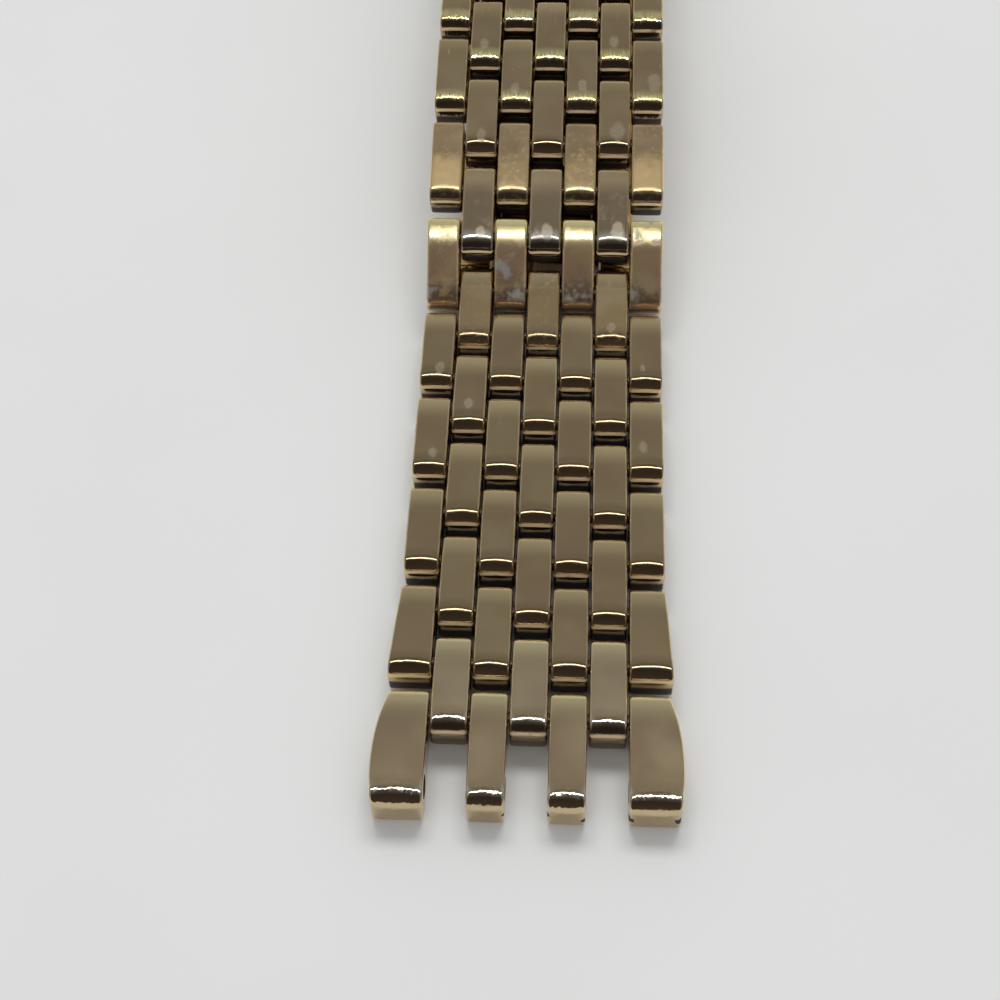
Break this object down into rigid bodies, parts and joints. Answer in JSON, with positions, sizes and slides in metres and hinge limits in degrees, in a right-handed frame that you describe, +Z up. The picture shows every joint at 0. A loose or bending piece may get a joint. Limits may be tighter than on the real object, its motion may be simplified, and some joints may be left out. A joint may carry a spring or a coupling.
{
  "type": "watch strap",
  "caption": "Gold-plated metal link watch strap in a staggered brick pattern, with flared case ends and a hidden folding clasp released by side push buttons.",
  "frame": {"origin": "on the table under the seam between the two halves, in the middle of the strap", "axes": "+X across the strap to the right, +Y along it to the far case end, +Z up out of the strap's face"},
  "size_m": [0.02, 0.1442, 0.0107],
  "materials": {
    "plated_links": "polished plating, worn",
    "plated_clasp": "polished plating",
    "pins": "plated",
    "spring_steel": "drawn wire"
  },
  "bodies": {
    "clasp": {"clasp_plate": "plated_clasp", "latch_cover": "plated_clasp", "hinge_pins": "pins", "button_springs": "spring_steel"},
    "near_arm": {"near_arm": "plated_clasp"},
    "far_arm": {"far_arm": "plated_clasp"},
    "left_button": {"left_button": "plated_clasp"},
    "right_button": {"right_button": "plated_clasp"},
    "near_row_17": {"near_row_17": "plated_links", "near_pins_17": "pins"},
    "near_row_16": {"near_row_16": "plated_links"},
    "near_row_15": {"near_row_15": "plated_links", "near_pins_15": "pins"},
    "near_row_14": {"near_row_14": "plated_links"},
    "near_row_13": {"near_row_13": "plated_links", "near_pins_13": "pins"},
    "near_row_12": {"near_row_12": "plated_links"},
    "near_row_11": {"near_row_11": "plated_links", "near_pins_11": "pins"},
    "near_row_10": {"near_row_10": "plated_links"},
    "near_row_9": {"near_row_9": "plated_links", "near_pins_9": "pins"},
    "near_row_8": {"near_row_8": "plated_links"},
    "near_row_7": {"near_row_7": "plated_links", "near_pins_7": "pins"},
    "near_row_6": {"near_row_6": "plated_links"},
    "near_row_5": {"near_row_5": "plated_links", "near_pins_5": "pins"},
    "near_row_4": {"near_row_4": "plated_links"},
    "near_row_3": {"near_row_3": "plated_links", "near_pins_3": "pins"},
    "near_row_2": {"near_row_2": "plated_links"},
    "near_row_1": {"near_row_1": "plated_links", "near_pins_1": "pins"},
    "far_row_17": {"far_row_17": "plated_links", "far_pins_17": "pins"},
    "far_row_16": {"far_row_16": "plated_links"},
    "far_row_15": {"far_row_15": "plated_links", "far_pins_15": "pins"},
    "far_row_14": {"far_row_14": "plated_links"},
    "far_row_13": {"far_row_13": "plated_links", "far_pins_13": "pins"},
    "far_row_12": {"far_row_12": "plated_links"},
    "far_row_11": {"far_row_11": "plated_links", "far_pins_11": "pins"},
    "far_row_10": {"far_row_10": "plated_links"},
    "far_row_9": {"far_row_9": "plated_links", "far_pins_9": "pins"},
    "far_row_8": {"far_row_8": "plated_links"},
    "far_row_7": {"far_row_7": "plated_links", "far_pins_7": "pins"},
    "far_row_6": {"far_row_6": "plated_links"},
    "far_row_5": {"far_row_5": "plated_links", "far_pins_5": "pins"},
    "far_row_4": {"far_row_4": "plated_links"},
    "far_row_3": {"far_row_3": "plated_links", "far_pins_3": "pins"},
    "far_row_2": {"far_row_2": "plated_links"},
    "far_row_1": {"far_row_1": "plated_links", "far_pins_1": "pins"}
  },
  "joints": [
    {"name": "near_arm_hinge", "type": "hinge", "parent": "clasp", "child": "near_arm", "pos_m": [0, -0.02617, 0.001], "axis": [1, 0, 0], "range_deg": [0, 160]},
    {"name": "near_row_17_pivot", "type": "hinge", "parent": "near_arm", "child": "near_row_17", "pos_m": [0, -0.00203, 0.00917], "axis": [-1, 0, 0], "range_deg": [0, 100]},
    {"name": "near_row_16_pivot", "type": "hinge", "parent": "near_row_17", "child": "near_row_16", "pos_m": [0, -0.00608, 0.00896], "axis": [-1, 0, 0], "range_deg": [0, 15]},
    {"name": "near_row_15_pivot", "type": "hinge", "parent": "near_row_16", "child": "near_row_15", "pos_m": [0, -0.01012, 0.00853], "axis": [-1, 0, 0], "range_deg": [0, 15]},
    {"name": "near_row_14_pivot", "type": "hinge", "parent": "near_row_15", "child": "near_row_14", "pos_m": [0, -0.01413, 0.0079], "axis": [-1, 0, 0], "range_deg": [0, 15]},
    {"name": "near_row_13_pivot", "type": "hinge", "parent": "near_row_14", "child": "near_row_13", "pos_m": [0, -0.0181, 0.00706], "axis": [-1, 0, 0], "range_deg": [0, 15]},
    {"name": "near_row_12_pivot", "type": "hinge", "parent": "near_row_13", "child": "near_row_12", "pos_m": [0, -0.02203, 0.006], "axis": [-1, 0, 0], "range_deg": [0, 15]},
    {"name": "near_row_11_pivot", "type": "hinge", "parent": "near_row_12", "child": "near_row_11", "pos_m": [0, -0.02589, 0.00475], "axis": [-1, 0, 0], "range_deg": [0, 36]},
    {"name": "near_row_10_pivot", "type": "hinge", "parent": "near_row_11", "child": "near_row_10", "pos_m": [0, -0.0289, 0.00203], "axis": [-1, 0, 0], "range_deg": [-57, 3]},
    {"name": "near_row_9_pivot", "type": "hinge", "parent": "near_row_10", "child": "near_row_9", "pos_m": [0, -0.03293, 0.00154], "axis": [-1, 0, 0], "range_deg": [-28, 12]},
    {"name": "near_row_8_pivot", "type": "hinge", "parent": "near_row_9", "child": "near_row_8", "pos_m": [0, -0.03699, 0.00146], "axis": [-1, 0, 0], "range_deg": [-23, 17]},
    {"name": "near_row_7_pivot", "type": "hinge", "parent": "near_row_8", "child": "near_row_7", "pos_m": [0, -0.04105, 0.00145], "axis": [-1, 0, 0], "range_deg": [-22, 18]},
    {"name": "near_row_6_pivot", "type": "hinge", "parent": "near_row_7", "child": "near_row_6", "pos_m": [0, -0.04511, 0.00145], "axis": [-1, 0, 0], "range_deg": [-22, 18]},
    {"name": "near_row_5_pivot", "type": "hinge", "parent": "near_row_6", "child": "near_row_5", "pos_m": [0, -0.04917, 0.00145], "axis": [-1, 0, 0], "range_deg": [-22, 18]},
    {"name": "near_row_4_pivot", "type": "hinge", "parent": "near_row_5", "child": "near_row_4", "pos_m": [0, -0.05323, 0.00145], "axis": [-1, 0, 0], "range_deg": [-22, 18]},
    {"name": "near_row_3_pivot", "type": "hinge", "parent": "near_row_4", "child": "near_row_3", "pos_m": [0, -0.05729, 0.00145], "axis": [-1, 0, 0], "range_deg": [-22, 18]},
    {"name": "near_row_2_pivot", "type": "hinge", "parent": "near_row_3", "child": "near_row_2", "pos_m": [0, -0.06135, 0.00145], "axis": [-1, 0, 0], "range_deg": [-22, 18]},
    {"name": "near_row_1_pivot", "type": "hinge", "parent": "near_row_2", "child": "near_row_1", "pos_m": [0, -0.06541, 0.00145], "axis": [-1, 0, 0], "range_deg": [-22, 18]},
    {"name": "far_arm_hinge", "type": "hinge", "parent": "clasp", "child": "far_arm", "pos_m": [0, 0.02617, 0.001], "axis": [-1, 0, 0], "range_deg": [0, 160]},
    {"name": "far_row_17_pivot", "type": "hinge", "parent": "far_arm", "child": "far_row_17", "pos_m": [0, 0.00203, 0.00917], "axis": [1, 0, 0], "range_deg": [0, 100]},
    {"name": "far_row_16_pivot", "type": "hinge", "parent": "far_row_17", "child": "far_row_16", "pos_m": [0, 0.00608, 0.00896], "axis": [1, 0, 0], "range_deg": [0, 15]},
    {"name": "far_row_15_pivot", "type": "hinge", "parent": "far_row_16", "child": "far_row_15", "pos_m": [0, 0.01012, 0.00853], "axis": [1, 0, 0], "range_deg": [0, 15]},
    {"name": "far_row_14_pivot", "type": "hinge", "parent": "far_row_15", "child": "far_row_14", "pos_m": [0, 0.01413, 0.0079], "axis": [1, 0, 0], "range_deg": [0, 15]},
    {"name": "far_row_13_pivot", "type": "hinge", "parent": "far_row_14", "child": "far_row_13", "pos_m": [0, 0.0181, 0.00706], "axis": [1, 0, 0], "range_deg": [0, 15]},
    {"name": "far_row_12_pivot", "type": "hinge", "parent": "far_row_13", "child": "far_row_12", "pos_m": [0, 0.02203, 0.006], "axis": [1, 0, 0], "range_deg": [0, 15]},
    {"name": "far_row_11_pivot", "type": "hinge", "parent": "far_row_12", "child": "far_row_11", "pos_m": [0, 0.02589, 0.00475], "axis": [1, 0, 0], "range_deg": [0, 36]},
    {"name": "far_row_10_pivot", "type": "hinge", "parent": "far_row_11", "child": "far_row_10", "pos_m": [0, 0.0289, 0.00203], "axis": [1, 0, 0], "range_deg": [-57, 3]},
    {"name": "far_row_9_pivot", "type": "hinge", "parent": "far_row_10", "child": "far_row_9", "pos_m": [0, 0.03293, 0.00154], "axis": [1, 0, 0], "range_deg": [-28, 12]},
    {"name": "far_row_8_pivot", "type": "hinge", "parent": "far_row_9", "child": "far_row_8", "pos_m": [0, 0.03699, 0.00146], "axis": [1, 0, 0], "range_deg": [-23, 17]},
    {"name": "far_row_7_pivot", "type": "hinge", "parent": "far_row_8", "child": "far_row_7", "pos_m": [0, 0.04105, 0.00145], "axis": [1, 0, 0], "range_deg": [-22, 18]},
    {"name": "far_row_6_pivot", "type": "hinge", "parent": "far_row_7", "child": "far_row_6", "pos_m": [0, 0.04511, 0.00145], "axis": [1, 0, 0], "range_deg": [-22, 18]},
    {"name": "far_row_5_pivot", "type": "hinge", "parent": "far_row_6", "child": "far_row_5", "pos_m": [0, 0.04917, 0.00145], "axis": [1, 0, 0], "range_deg": [-22, 18]},
    {"name": "far_row_4_pivot", "type": "hinge", "parent": "far_row_5", "child": "far_row_4", "pos_m": [0, 0.05323, 0.00145], "axis": [1, 0, 0], "range_deg": [-22, 18]},
    {"name": "far_row_3_pivot", "type": "hinge", "parent": "far_row_4", "child": "far_row_3", "pos_m": [0, 0.05729, 0.00145], "axis": [1, 0, 0], "range_deg": [-22, 18]},
    {"name": "far_row_2_pivot", "type": "hinge", "parent": "far_row_3", "child": "far_row_2", "pos_m": [0, 0.06135, 0.00145], "axis": [1, 0, 0], "range_deg": [-22, 18]},
    {"name": "far_row_1_pivot", "type": "hinge", "parent": "far_row_2", "child": "far_row_1", "pos_m": [0, 0.06541, 0.00145], "axis": [1, 0, 0], "range_deg": [-22, 18]},
    {"name": "left_button_press", "type": "slide", "parent": "clasp", "child": "left_button", "axis": [1, 0, 0], "range_m": [0, 0.0005], "stiffness_N_per_m": 800, "springref_m": -0.001, "deforming": ["button_springs"]},
    {"name": "right_button_press", "type": "slide", "parent": "clasp", "child": "right_button", "axis": [-1, 0, 0], "range_m": [0, 0.0005], "stiffness_N_per_m": 800, "springref_m": -0.001, "deforming": ["button_springs"]}
  ]
}
